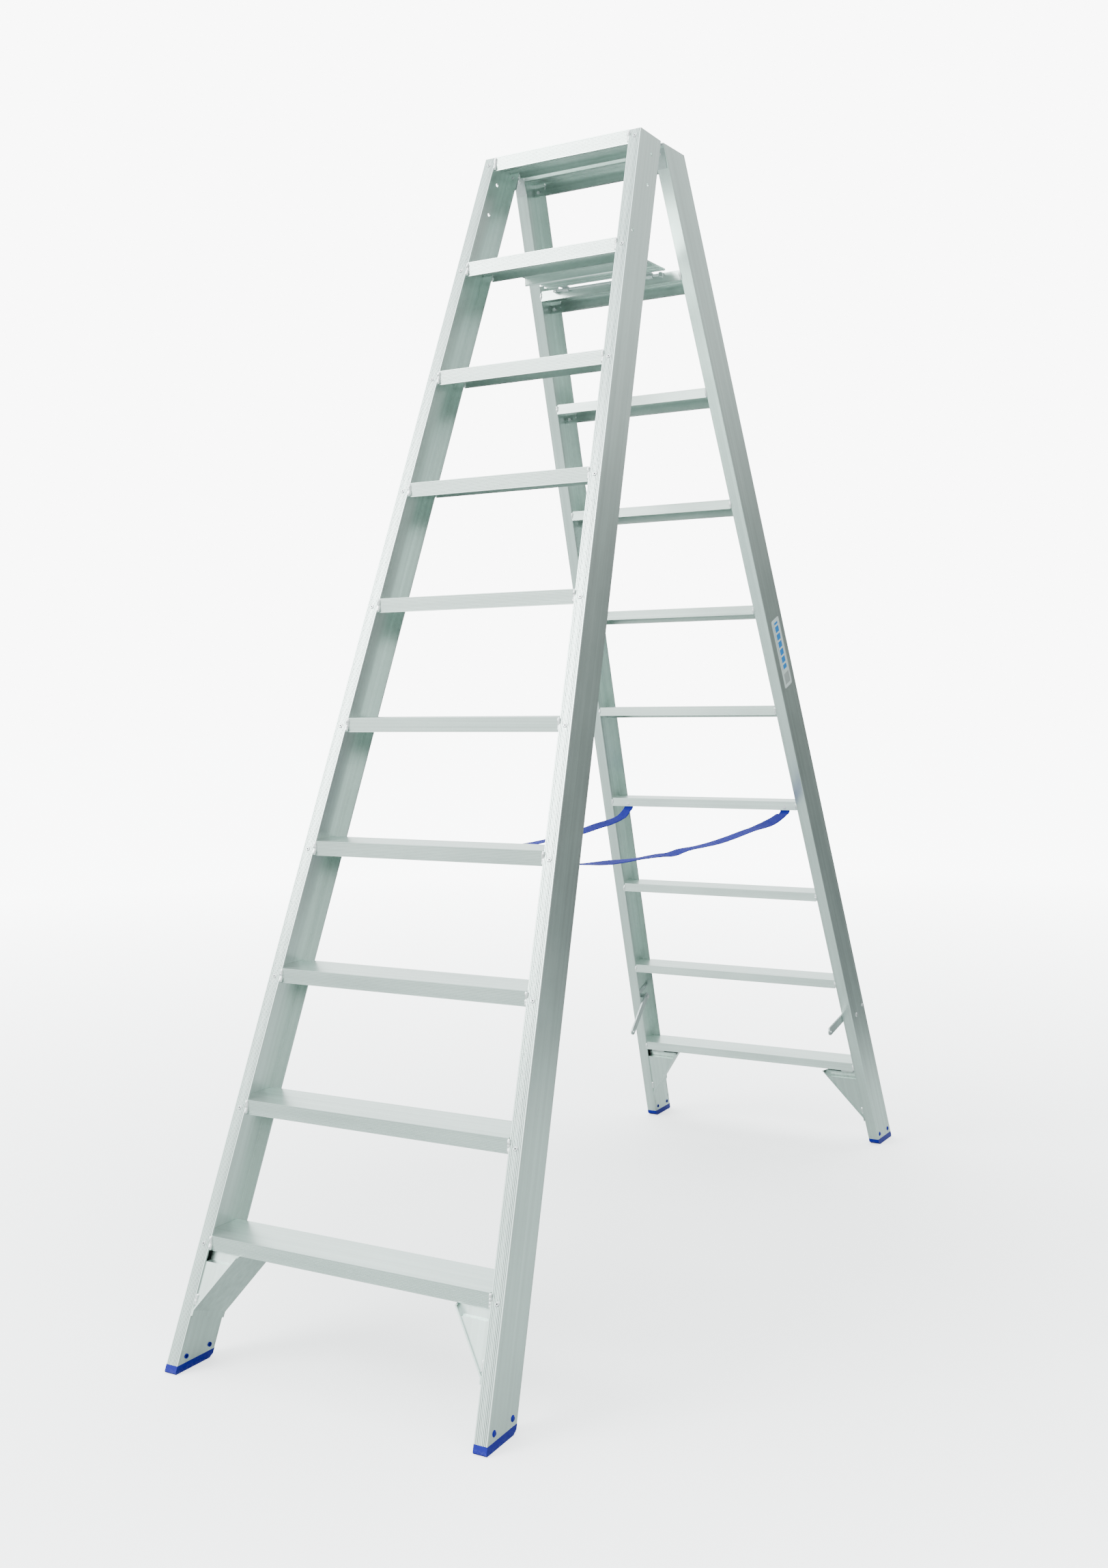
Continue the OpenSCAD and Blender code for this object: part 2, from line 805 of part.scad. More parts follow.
module latch_bolts() {
    nut_x = arm_x + arm_t + slide_fit;
    color(steel) both_sides() stile_space() {
        latch_pivot_place() {
            rod_x(latch_bolt_r, -nut_x - 1, 0.5);
            rotate([0, 90, 0]) cylinder(r1 = latch_bolt_r + 3, r2 = latch_bolt_r + 1, h = 2);
            rod_x(latch_bolt_r + 3, -nut_x - 4, -nut_x, $fn = 6);
        }
        latch_far_place() {
            rod_x(rivet_r, -web_t - latch_plate_t - 1, 0.5);
            rotate([0, 90, 0]) cylinder(r1 = rivet_head_r, r2 = rivet_head_r - 1.2, h = head_t);
            rod_x(tail_r, -web_t - latch_plate_t - tail_t, -web_t - latch_plate_t);
        }
    }
}

// ---- straps ----

function strap_x(side) = side == "right" ? right_strap_x : left_strap_x;

// Place on the heel lip's face where a rivet holds the strap of the right side.
module strap_rivet_place(side) {
    translate([strap_x(side), heel_y(strap_level), strap_z - strap_rivet_drop]) children();
}

module strap(side, shape) {
    x0 = strap_x(side) - strap_w / 2;
    on_side(side) color(blue) difference() {
        along_x(x0, x0 + strap_w) polygon(band(strap_line(shape), strap_t));
        for (e = ends) on_end(e) strap_rivet_place(side) {
            rod_y(rivet_r + pin_fit, lip_t, lip_t + 2 * strap_t);
        }
    }
}

// The strap lies behind the lip, between it and a washer.
module strap_rivets(end) {
    back = lip_t + strap_t + 2 * strap_skin;
    on_end(end) color(steel) for (side = sides) on_side(side) strap_rivet_place(side) {
        rod_y(rivet_r, -0.5, back + 2);
        rotate([90, 0, 0]) {
            cylinder(r1 = rivet_head_r, r2 = rivet_head_r - 1.2, h = 1);
        }
        rod_y(strap_washer_d / 2, back, back + 1);
        rod_y(tail_r, back + 1, back + 3);
    }
}

for (e = ends) {
    for (s = sides) {
        stile(e, s);
        foot(e, s);
        insert(e, s);
        brace(e, s);
        hinge_leaf(e, s);
    }
    for (k = levels) {
        tread(e, k);
    }
    tread_rivets(e);
    foot_pins(e);
    hinge_rivets(e);
    strap_rivets(e);
}
hinge_pins();
shelf_plate();
shelf_clips();
shelf_rod();
shelf_lugs();
strap("left", left_strap_shape);  // strap_left
strap("right", right_strap_shape);  // strap_right
latch_arm("left");  // latch_arm_left
latch_arm("right");  // latch_arm_right
latch_brackets();
latch_bolts();
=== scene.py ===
"""Double-sided aluminium step ladder: finishes, webbing straps, weld beads and label."""
import bmesh
import bpy
import math
import numpy as np
from mathutils import Matrix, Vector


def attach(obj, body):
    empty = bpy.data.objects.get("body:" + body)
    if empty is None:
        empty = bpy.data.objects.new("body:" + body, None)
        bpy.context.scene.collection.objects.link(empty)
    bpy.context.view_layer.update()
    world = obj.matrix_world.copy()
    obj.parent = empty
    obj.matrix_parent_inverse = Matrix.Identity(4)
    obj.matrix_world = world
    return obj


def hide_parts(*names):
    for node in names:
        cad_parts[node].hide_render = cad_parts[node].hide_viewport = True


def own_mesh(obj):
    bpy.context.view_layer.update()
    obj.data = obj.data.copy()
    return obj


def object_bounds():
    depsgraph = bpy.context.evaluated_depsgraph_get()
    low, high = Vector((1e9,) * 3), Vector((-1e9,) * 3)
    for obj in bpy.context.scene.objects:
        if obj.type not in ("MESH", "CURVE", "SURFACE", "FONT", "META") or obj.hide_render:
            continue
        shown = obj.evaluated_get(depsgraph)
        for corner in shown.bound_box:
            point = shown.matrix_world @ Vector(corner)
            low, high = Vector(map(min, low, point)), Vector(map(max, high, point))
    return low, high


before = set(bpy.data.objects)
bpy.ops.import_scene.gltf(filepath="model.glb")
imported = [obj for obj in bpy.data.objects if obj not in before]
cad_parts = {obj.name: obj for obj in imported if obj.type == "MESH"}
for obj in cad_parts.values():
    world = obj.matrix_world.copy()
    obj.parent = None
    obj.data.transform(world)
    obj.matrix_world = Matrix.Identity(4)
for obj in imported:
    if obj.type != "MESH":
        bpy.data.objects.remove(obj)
cad_box = [list(c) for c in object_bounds()]

# ---- sizes of the ladder, in metres ----

HEIGHT = cad_box[1][2]
TREADS = 10
RISE = HEIGHT / TREADS
LEAN = math.radians(21.6)
TOP_W = 0.366
BASE_W = 0.687
HINGE_GAP = 0.0109
STILE_D = 0.090
FLANGE_W = 0.0265
FLANGE_T = 0.003
APRON_PROUD = 0.003
APRON_H = 0.028
HEEL_IN = 0.004
RIVET_DROP = 0.0156
RIVET_IN = 0.0127
LIP_H = 0.021
LIP_T = 0.0025
STRAP_LEVEL = 4
STRAP_X = {"right": 0.223, "left": 0.207}
STRAP_W = 0.025
STRAP_T = 0.002
LABEL_L = 0.168
LABEL_W = 0.044
LABEL_Z = 1.301
SPLAY = math.atan((BASE_W - TOP_W) / 2 * math.cos(LEAN) / HEIGHT)
FAR_RUN = STILE_D / math.cos(LEAN)


def near_y(z):
    """Distance of a frame's inner face from the middle plane: half the hinge gap plus
    the drop below the top times the tangent of the lean."""
    return HINGE_GAP / 2 + (HEIGHT - z) * math.tan(LEAN)


def far_y(z):
    """Distance of a frame's outer face from the middle plane."""
    return near_y(z) + FAR_RUN


def stile_point(x, y, z):
    """Point of the right rear stile: x across from the web's outer face, y deep from the
    inner face, z the height in the world. The height is first turned into a place along
    the slope, then the splay and the lean turn that place into the world."""
    slope = (z - HEIGHT - y * math.sin(LEAN)) / math.cos(LEAN)
    return np.stack(
        [
            TOP_W / 2 + x / math.cos(SPLAY) - slope * math.tan(SPLAY),
            HINGE_GAP / 2 + y * math.cos(LEAN) - slope * math.sin(LEAN),
            z + 0 * slope,
        ],
        axis=-1,
    )


# ---- camera and softboxes ----


def place_camera():
    """The camera's place and its three turns: heading from +Y towards +X, pitch, roll."""
    heading, pitch, roll = -0.521271, -0.093557, -0.016411
    level = np.array([math.sin(heading), math.cos(heading), 0.0])
    side = np.array([math.cos(heading), -math.sin(heading), 0.0])
    up = np.array([0.0, 0.0, 1.0])
    forward = level * math.cos(pitch) + up * math.sin(pitch)
    above = up * math.cos(pitch) - level * math.sin(pitch)
    right = side * math.cos(roll) + above * math.sin(roll)
    above = above * math.cos(roll) - side * math.sin(roll)
    data = bpy.data.cameras.new("camera")
    data.sensor_width = 36.0
    data.lens = 36.763
    data.shift_x = -0.0004
    data.shift_y = 0.0338
    data.clip_end = 60
    camera = bpy.data.objects.new("camera", data)
    turn = Matrix([right, above, -forward]).transposed().to_4x4()
    camera.matrix_world = Matrix.Translation((1.68135, -3.10509, 1.22930)) @ turn
    bpy.context.scene.collection.objects.link(camera)
    bpy.context.scene.camera = camera


def softbox(name, place, aim, size, power):
    """Rectangular light at a place, facing a point."""
    data = bpy.data.lights.new(name, "AREA")
    data.shape = "RECTANGLE"
    data.size, data.size_y = size
    data.energy = power
    light = bpy.data.objects.new(name, data)
    away = np.array(place, float) - np.array(aim, float)
    away /= np.linalg.norm(away)
    side = np.cross([0.0, 0.0, 1.0], away)
    side /= np.linalg.norm(side)
    turn = Matrix([side, np.cross(away, side), away]).transposed().to_4x4()
    light.matrix_world = Matrix.Translation(place) @ turn
    bpy.context.scene.collection.objects.link(light)


place_camera()


# ---- nodes ----


class Wire:
    """A socket that takes part in sums. An operator adds the Math node that works it out."""

    def __init__(self, tree, socket):
        self.tree = tree
        self.socket = socket

    def maths(self, operation, other=None, swap=False):
        pair = [self] if other is None else ([other, self] if swap else [self, other])
        return self.tree.node("ShaderNodeMath", {"operation": operation}, dict(enumerate(pair)))

    def __add__(self, other): return self.maths("ADD", other)
    def __radd__(self, other): return self.maths("ADD", other, True)
    def __sub__(self, other): return self.maths("SUBTRACT", other)
    def __rsub__(self, other): return self.maths("SUBTRACT", other, True)
    def __mul__(self, other): return self.maths("MULTIPLY", other)
    def __rmul__(self, other): return self.maths("MULTIPLY", other, True)
    def __truediv__(self, other): return self.maths("DIVIDE", other)
    def __rtruediv__(self, other): return self.maths("DIVIDE", other, True)
    def __pow__(self, other): return self.maths("POWER", other)
    def __mod__(self, other): return self.maths("FLOORED_MODULO", other)
    def __lt__(self, other): return self.maths("LESS_THAN", other)
    def __gt__(self, other): return self.maths("GREATER_THAN", other)
    def sin(self): return self.maths("SINE")
    def size(self): return self.maths("ABSOLUTE")


class Shading:
    """The nodes of a material or of the surroundings."""

    def __init__(self, tree):
        self.nodes = tree.nodes
        self.links = tree.links

    def node(self, kind, settings=None, sockets=None, out=0):
        """Adds a node: settings first, then values and links by socket name or number."""
        made = self.nodes.new(kind)
        for key, value in (settings or {}).items():
            setattr(made, key, value)
        for key, value in (sockets or {}).items():
            if isinstance(value, Wire):
                self.links.new(value.socket, made.inputs[key])
            else:
                made.inputs[key].default_value = value
        return Wire(self, made.outputs[out])

    def place(self):
        return self.node("ShaderNodeTexCoord", out="Object")

    def along(self, place, direction):
        """Distance of a place along a direction."""
        return self.node(
            "ShaderNodeVectorMath", {"operation": "DOT_PRODUCT"},
            {0: place, 1: tuple(direction)}, out="Value",
        )

    def join(self, x, y, z):
        return self.node("ShaderNodeCombineXYZ", None, {0: x, 1: y, 2: z})

    def noise(self, place, scale, detail=3.0, rough=0.55):
        return self.node(
            "ShaderNodeTexNoise", None,
            {"Vector": place, "Scale": scale, "Detail": detail, "Roughness": rough}, out="Fac",
        )

    def span(self, value, low, high, to_low=0.0, to_high=1.0):
        """Value between low and high carried over to another pair, and held at its ends."""
        return self.node(
            "ShaderNodeMapRange", {"clamp": True},
            {"Value": value, "From Min": low, "From Max": high,
             "To Min": to_low, "To Max": to_high},
        )

    def blend(self, share, one, other):
        """Colour between two colours."""
        keys = {0: share, 6: one, 7: other}
        keys = {k: ((*v, 1) if isinstance(v, tuple) else v) for k, v in keys.items()}
        return self.node("ShaderNodeMix", {"data_type": "RGBA"}, keys, out=2)

    def bump(self, height, distance, strength=1.0):
        return self.node(
            "ShaderNodeBump", None,
            {"Height": height, "Distance": distance, "Strength": strength},
        )


class Finish(Shading):
    """A material, its shader and its surface nodes."""

    def __init__(self, name, **fixed):
        self.material = bpy.data.materials.new(name)
        self.material.use_nodes = True
        super().__init__(self.material.node_tree)
        self.shader = self.nodes["Principled BSDF"]
        for socket, value in fixed.items():
            self.shader.inputs[socket.replace("_", " ")].default_value = value

    def set(self, **links):
        for socket, wire in links.items():
            self.links.new(wire.socket, self.shader.inputs[socket.replace("_", " ")])


def extruded(name, along, across, colour, rough=0.27, origin=None):
    """Mill-finished extrusion: hair-fine die lines along its length, slow changes of
    sheen between them and faint handling marks. Without an origin it is a tread's, with
    painted shading that darkens the ten flutes of its apron. With one it is a stile's, with
    lengthwise grooves at even steps across its outer flange, bumped in and darkened by
    painted shading."""
    finish = Finish(name, Metallic=0.94, IOR=1.5)
    place = finish.place()
    third = np.cross(along, across)
    run, a, b = (finish.along(place, v) for v in (along, across, third))
    fine = finish.noise(finish.join(run * 3.0, a * 900.0, b * 900.0), 1.0, 3.0, 0.6)
    broad = finish.noise(finish.join(run * 1.4, a * 120.0, b * 120.0), 1.0, 2.0)
    cloud = finish.noise(finish.join(run * 5.0, a * 9.0, b * 9.0), 1.0, 4.0)
    scuff = finish.noise(finish.join(run * 60.0, a * 260.0, b * 260.0), 1.0, 5.0, 0.7)
    mark = finish.span(scuff, 0.62, 0.74)
    tone = finish.span(broad * 0.6 + cloud * 0.4, 0.35, 0.65)
    dark = tuple(c * 0.88 for c in colour)
    pale = tuple(min(c * 1.06, 1.0) for c in colour)
    body = finish.blend(tone, dark, pale)
    # Darkening by the handling marks, which is wear; painted shading of the grooves is added to
    # it below.
    marks_and_groove_shade = mark * 0.30
    height = fine * 0.022 + broad * 0.03 - mark * 0.01
    if origin is None:
        lift = finish.along(place, (0, 0, 1))
        level = (lift / RISE).maths("CEIL") * RISE
        drop = level - lift
        face = (HEIGHT - level) * math.tan(LEAN) + (HINGE_GAP / 2 + FAR_RUN + APRON_PROUD)
        front = b.size() - face > -0.0010
        flute = APRON_H / 10
        row = ((drop + flute / 2) % flute - flute / 2).size()
        # Painted shading: the colour is darkened in the ten flutes across the apron's front
        # face, as shadow would darken them.
        groove = front * (drop > flute / 2) * (drop < APRON_H - flute / 2)
        groove = groove * finish.span(row, 0.0004, 0.0008, 1.0, 0.0)
        marks_and_groove_shade = marks_and_groove_shade + groove * 0.75
    else:
        wide = finish.along(place, across) - float(np.dot(origin, across))
        deep = (b - float(np.dot(origin, third))).size()
        flange = (deep > STILE_D - 0.0008) * (wide < -0.0022) * (wide > -0.0245)
        step = 0.0031
        row = ((wide + 0.3) % step - step / 2).size()
        groove = flange * finish.span(row, 0.0002, 0.0006, 1.0, 0.0)
        # Painted shading: the colour is darkened in the flange's grooves, on top of the real
        # bump that cuts them in at the next line.
        marks_and_groove_shade = marks_and_groove_shade + groove * 0.55
        height = height - groove
    # worn carries the real handling marks and the painted shading of the grooves.
    worn = finish.blend(marks_and_groove_shade, body, tuple(c * 0.62 for c in colour))
    uneven = fine * 0.5 + cloud * 0.5 + mark * 0.25
    finish.set(
        Base_Color=worn,
        Roughness=finish.span(uneven, 0.3, 0.9, rough, rough + 0.16),
        Normal=finish.bump(height, 0.0009, 0.9),
    )
    return finish.material


def pressed(name, colour, rough=0.34, metallic=0.95):
    """Pressed or turned metal: fine speckle, brushed patches and small dark marks."""
    finish = Finish(name, Metallic=metallic)
    place = finish.place()
    speck = finish.noise(place, 900.0, 2.0)
    patch = finish.noise(place, 60.0, 4.0)
    tone = finish.span(patch, 0.35, 0.7)
    finish.set(
        Base_Color=finish.blend(tone, tuple(c * 0.82 for c in colour), colour),
        Roughness=finish.span(speck * 0.5 + patch * 0.5, 0.3, 0.7, rough, rough + 0.2),
        Normal=finish.bump(speck, 0.00008, 0.6),
    )
    return finish.material


def weld_metal(name):
    """Bright solidified bead: rough ripples with patches of soot."""
    finish = Finish(name, Metallic=0.9)
    place = finish.place()
    grain = finish.noise(place, 700.0, 4.0, 0.7)
    soot = finish.span(finish.noise(place, 120.0, 3.0), 0.5, 0.72)
    finish.set(
        Base_Color=finish.blend(soot * 0.5, (0.86, 0.89, 0.88), (0.45, 0.49, 0.48)),
        Roughness=finish.span(grain, 0.3, 0.7, 0.28, 0.5),
        Normal=finish.bump(grain, 0.0003, 0.7),
    )
    return finish.material


def moulded(name, colour):
    """Moulded plastic: fine pebble, slow colour change, and grey scuffs near the floor."""
    finish = Finish(name, Metallic=0.0, IOR=1.33)
    place = finish.place()
    pebble = finish.noise(place, 1500.0, 3.0, 0.6)
    cloud = finish.noise(place, 45.0, 4.0)
    height = finish.along(place, (0, 0, 1))
    low = finish.span(height, 0.0, 0.010, 1.0, 0.0)
    scuff = low * finish.span(finish.noise(place, 220.0, 5.0, 0.7), 0.48, 0.62)
    body = finish.blend(finish.span(cloud, 0.3, 0.7), tuple(c * 0.85 for c in colour), colour)
    finish.set(
        Base_Color=finish.blend(scuff * 0.35, body, (0.16, 0.20, 0.38)),
        Roughness=finish.span(pebble * 0.6 + scuff * 0.4, 0.2, 0.9, 0.36, 0.62),
        Normal=finish.bump(pebble * 0.8 - scuff * 0.2, 0.00010, 0.6),
    )
    return finish.material


def webbing(name, colour):
    """Woven webbing. Narrow warp ribs lie side by side across the width and step over and
    under along the length, and the two edges have a thicker selvedge. u is metres along
    and v is metres across."""
    finish = Finish(name, Metallic=0.0, IOR=1.35)
    strand = finish.node("ShaderNodeUVMap", {"uv_map": "weave"})
    along = finish.along(strand, (1, 0, 0))
    across = finish.along(strand, (0, 1, 0))
    rib = (across * (2 * math.pi / 0.0021)).sin()
    pick = (along * (2 * math.pi / 0.0016) + finish.span(rib, -0.2, 0.2, 0.0, math.pi)).sin()
    thread = rib.size() * 0.6 + pick * 0.4
    fuzz = finish.noise(finish.place(), 2600.0, 3.0, 0.7)
    fade = finish.noise(finish.place(), 22.0, 3.0)
    edge = finish.span(across.size(), 0.0100, 0.0112)
    dark = tuple(c * 0.55 for c in colour)
    body = finish.blend(finish.span(thread + fuzz * 0.4, 0.0, 1.2), dark, colour)
    worn = finish.blend(finish.span(fade, 0.45, 0.75) * 0.25, body, (0.003, 0.015, 0.40))
    finish.set(
        Base_Color=finish.blend(edge * 0.25, worn, dark),
        Roughness=finish.span(fuzz, 0.3, 0.7, 0.62, 0.85),
        Normal=finish.bump(thread * (1 - edge) + edge * 0.6 + fuzz * 0.2, 0.0004, 0.8),
    )
    return finish.material


def printed_label(name, centre, along, across):
    """Pale foil label with a row of blue blocks, a grey hatched square and a fine rule."""
    finish = Finish(name, Metallic=0.25)
    place = finish.place()
    offset = finish.node(
        "ShaderNodeVectorMath", {"operation": "SUBTRACT"}, {0: place, 1: tuple(centre)}
    )
    run = finish.along(offset, along)
    wide = finish.along(offset, across)
    band = (run > -0.040) * (run < 0.076) * ((wide - 0.001).size() < 0.0105)
    slit = ((run + 0.2) % 0.0190) < 0.0045
    blue = band * (1 - slit)
    block = (run < -0.050) * (run > -0.076) * (wide.size() < 0.0145)
    hatch = block * (((run + wide) % 0.0042) < 0.0021)
    rule = (run > -0.040) * (run < 0.076) * ((wide + 0.0155).size() < 0.0007)
    speck = finish.noise(place, 500.0, 3.0)
    paper = finish.blend(finish.span(speck, 0.3, 0.7), (0.70, 0.80, 0.77), (0.80, 0.88, 0.86))
    inked = finish.blend(blue, paper, (0.02, 0.26, 0.72))
    inked = finish.blend(hatch, inked, (0.12, 0.14, 0.13))
    finish.set(
        Base_Color=finish.blend(rule, inked, (0.20, 0.24, 0.24)),
        Roughness=finish.span(speck, 0.3, 0.7, 0.30, 0.42),
        Normal=finish.bump(speck * 0.2 + blue * 0.4, 0.00005, 0.5),
    )
    return finish.material


def floor_finish(name):
    """Pale studio paper with a faint tooth. To the camera it glows with painted light that
    grows with the distance from the ladder, dim beside it and white further out, where it
    runs into the white wall. It sends less light back into the metal than it shows: every
    other ray meets no glow and a painted dark grey, darker towards the back."""
    finish = Finish(name, Metallic=0.0, Emission_Strength=7.0)
    place = finish.place()
    tooth = finish.noise(place, 300.0, 4.0)
    back = finish.along(place, (0, 1, 0))
    out = (finish.along(place, (1, 0, 0)) ** 2 + back ** 2) ** 0.5
    seen = finish.node("ShaderNodeLightPath", out="Is Camera Ray")
    # Painted glow: emission that only the camera sees, rising from dim beside the ladder to
    # white far out.
    fade = finish.span(out, 0.6, 7.0, 0.13, 1.0) * seen
    # Painted dark bounce: the colour that every ray but the camera's meets, dark grey, darker
    # towards the back.
    painted_dark_bounce = finish.blend(finish.span(back, 1.6, 2.8), (0.33, 0.36, 0.35), (0.03, 0.035, 0.035))
    pale = finish.blend(tooth, (0.90, 0.90, 0.90), (0.93, 0.93, 0.93))
    finish.set(
        Base_Color=finish.blend(seen, painted_dark_bounce, pale),
        Roughness=finish.span(tooth, 0.3, 0.7, 0.75, 0.9),
        Emission_Color=finish.blend(fade, (0.0, 0.0, 0.0), (1.0, 1.0, 1.0)),
    )
    return finish.material


# ---- finishes of the ladder's own parts ----


def stile_axes(end, side):
    """A stile's own directions, up its slope and across its web, and the top corner that
    they start from."""
    across = np.array([
        math.cos(SPLAY), -math.sin(SPLAY) * math.sin(LEAN), math.sin(SPLAY) * math.cos(LEAN)
    ])
    up = np.array([
        -math.sin(SPLAY), -math.cos(SPLAY) * math.sin(LEAN), math.cos(SPLAY) * math.cos(LEAN)
    ])
    origin = np.array([TOP_W / 2, HINGE_GAP / 2, HEIGHT])
    turn = np.array([1 if side == "right" else -1, 1 if end == "rear" else -1, 1])
    return up * turn, across * turn, origin * turn


SILVER = (0.67, 0.77, 0.73)
across_metal = extruded("extruded_across", (1, 0, 0), (0, 0, 1), SILVER)
stile_metal = {}
for end in ("front", "rear"):
    for side in ("left", "right"):
        up, across, origin = stile_axes(end, side)
        stile_metal[end, side] = extruded(
            f"extruded_{end}_{side}", up, across, SILVER, origin=origin
        )
zinc = pressed("zinc_plate", (0.56, 0.62, 0.61))
rivet_metal = pressed("rivet_alloy", (0.74, 0.77, 0.77), 0.30)
# Near-black: a painted shadow of the rivets' mandrel holes, laid on the real mandrel stubs.
mandrel_painted_hole_shadow = pressed("mandrel_painted_hole_shadow", (0.10, 0.11, 0.11), 0.45, 0.8)
weld = weld_metal("weld_bead")
blue_plastic = moulded("blue_moulding", (0.0, 0.001, 0.25))
blue_webbing = webbing("blue_webbing", (0.0, 0.001, 0.27))


def paint(node, material):
    node.data.materials.clear()
    node.data.materials.append(material)


for name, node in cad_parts.items():
    end = name.split("_")[0]
    side = name.split("_")[-1]
    if "foot" in name:
        paint(node, blue_plastic)
    elif "stile" in name or "insert" in name or "brace" in name:
        paint(node, stile_metal[end, side])
    elif "rivets" in name or name == "latch_bolts":
        paint(node, rivet_metal)
    elif "tread" in name or name == "shelf_plate":
        paint(node, across_metal)
    else:
        paint(node, zinc)


# ---- meshes, welds and mandrels ----


def mesh_piece(name, points, faces, material, smooth=True, uv=None):
    """Object from an array of points and an array of faces with equal corners."""
    mesh = bpy.data.meshes.new(name)
    corners = faces.shape[1]
    mesh.vertices.add(len(points))
    mesh.vertices.foreach_set("co", np.ascontiguousarray(points, np.float32).ravel())
    mesh.loops.add(faces.size)
    mesh.loops.foreach_set("vertex_index", faces.astype(np.int32).ravel())
    mesh.polygons.add(len(faces))
    mesh.polygons.foreach_set("loop_start", np.arange(len(faces), dtype=np.int32) * corners)
    mesh.polygons.foreach_set("use_smooth", np.full(len(faces), smooth))
    mesh.update(calc_edges=True)
    if uv is not None:
        layer = mesh.uv_layers.new(name="weave")
        layer.data.foreach_set("uv", uv[faces.ravel()].astype(np.float32).ravel())
    mesh.materials.append(material)
    piece = bpy.data.objects.new(name, mesh)
    bpy.context.scene.collection.objects.link(piece)
    return piece


def tube_faces(rings, sides, first=0):
    """Faces of a tube of rings, closed round its girth: each corner joins the next one
    round and the same two on the next ring. Rings without width close its ends."""
    i, j = np.meshgrid(np.arange(rings - 1), np.arange(sides), indexing="ij")
    k = (j + 1) % sides
    quad = np.stack([i * sides + j, i * sides + k, (i + 1) * sides + k, (i + 1) * sides + j], -1)
    return quad.reshape(-1, 4) + first


def smooth_noise(count, step, rng):
    """Random values at even steps, with straight lines between them."""
    knots = rng.normal(size=count // step + 2)
    return np.interp(np.arange(count) / step, np.arange(len(knots)), knots)


def bead(path, normal, radius, rng):
    """Weld bead along a path: a ring of points round each path point, whose radius swells
    and falls with the ripples that a weaving torch leaves, and closes to a point at both
    ends. Each ring leans back along the path at its top."""
    rings, sides, ripple_step = len(path), 10, 0.0024
    run = np.gradient(path, axis=0)
    run /= np.linalg.norm(run, axis=1, keepdims=True)
    out = normal - run * np.sum(run * normal, axis=1, keepdims=True)
    out /= np.linalg.norm(out, axis=1, keepdims=True)
    wide = np.cross(run, out)
    length = np.concatenate([[0], np.cumsum(np.linalg.norm(np.diff(path, axis=0), axis=1))])
    share = length / length[-1]
    ripple = 0.13 * np.abs(np.sin(length / ripple_step * math.pi + rng.uniform(0, 6)))
    swell = 1.0 + 0.13 * smooth_noise(rings, 4, rng) + ripple
    close = np.sqrt(np.clip(1 - (2 * share - 1) ** 8, 0.0, 1))
    size = (radius * swell * close)[:, None, None]
    wander = (radius * 0.16 * smooth_noise(rings, 5, rng))[:, None, None]
    turn = np.arange(sides) / sides * 2 * math.pi
    return (
        path[:, None, :]
        + size * np.cos(turn)[None, :, None] * out[:, None, :]
        + (1.15 * size * np.sin(turn)[None, :, None] + wander) * wide[:, None, :]
        - 0.35 * size * np.cos(turn)[None, :, None] * run[:, None, :]
    )


def beads_piece(name, beads, material):
    """One object of many closed tubes. Each one's end rings have no width, so the corners
    there are merged into one pole."""
    points, faces, count = [], [], 0
    for ring in beads:
        rings, sides = ring.shape[:2]
        points.append(ring.reshape(-1, 3))
        faces.append(tube_faces(rings, sides, count))
        count += rings * sides
    piece = mesh_piece(name, np.concatenate(points), np.concatenate(faces), material)
    weld_modifier = piece.modifiers.new("poles", "WELD")
    weld_modifier.merge_threshold = 0.00002
    depsgraph = bpy.context.evaluated_depsgraph_get()
    merged = bpy.data.meshes.new_from_object(piece.evaluated_get(depsgraph))
    piece.modifiers.clear()
    piece.data = merged
    outward(piece)
    return piece


def outward(piece, merge=0.0):
    """Merges the points of a closed piece that are nearer than a distance, if one is
    given, and turns every face to point outwards."""
    work = bmesh.new()
    work.from_mesh(piece.data)
    if merge:
        bmesh.ops.remove_doubles(work, verts=work.verts, dist=merge)
    bmesh.ops.recalc_face_normals(work, faces=work.faces)
    work.to_mesh(piece.data)
    work.free()


def mirrored(points, end, side):
    """Points of the right rear corner carried to another corner."""
    points = points.copy()
    points[..., 0] *= 1 if side == "right" else -1
    points[..., 1] *= 1 if end == "rear" else -1
    return points


def tread_bead_path(level, far):
    """Line where a tread's end meets the stile's flange edge. It runs down the apron's
    face, or the heel lip's, and is held within the flange's thickness."""
    top = RISE * level
    if far:
        z = np.linspace(top - 0.0012, top - APRON_H + 0.0015, 30)
        plane = far_y(top) + APRON_PROUD
        plane = np.clip(plane, far_y(z) - FLANGE_T / math.cos(LEAN), far_y(z) + 0.0006)
    else:
        z = np.linspace(top - 0.0035, top - LIP_H + 0.0010, 24)
        plane = near_y(top) + HEEL_IN
        plane = np.clip(plane, near_y(z) - 0.0006, near_y(z) + FLANGE_T / math.cos(LEAN))
    depth = (plane - near_y(z)) * math.cos(LEAN)
    edge = stile_point(-FLANGE_W - 0.0006, depth, z)
    edge[:, 1] = plane
    return edge


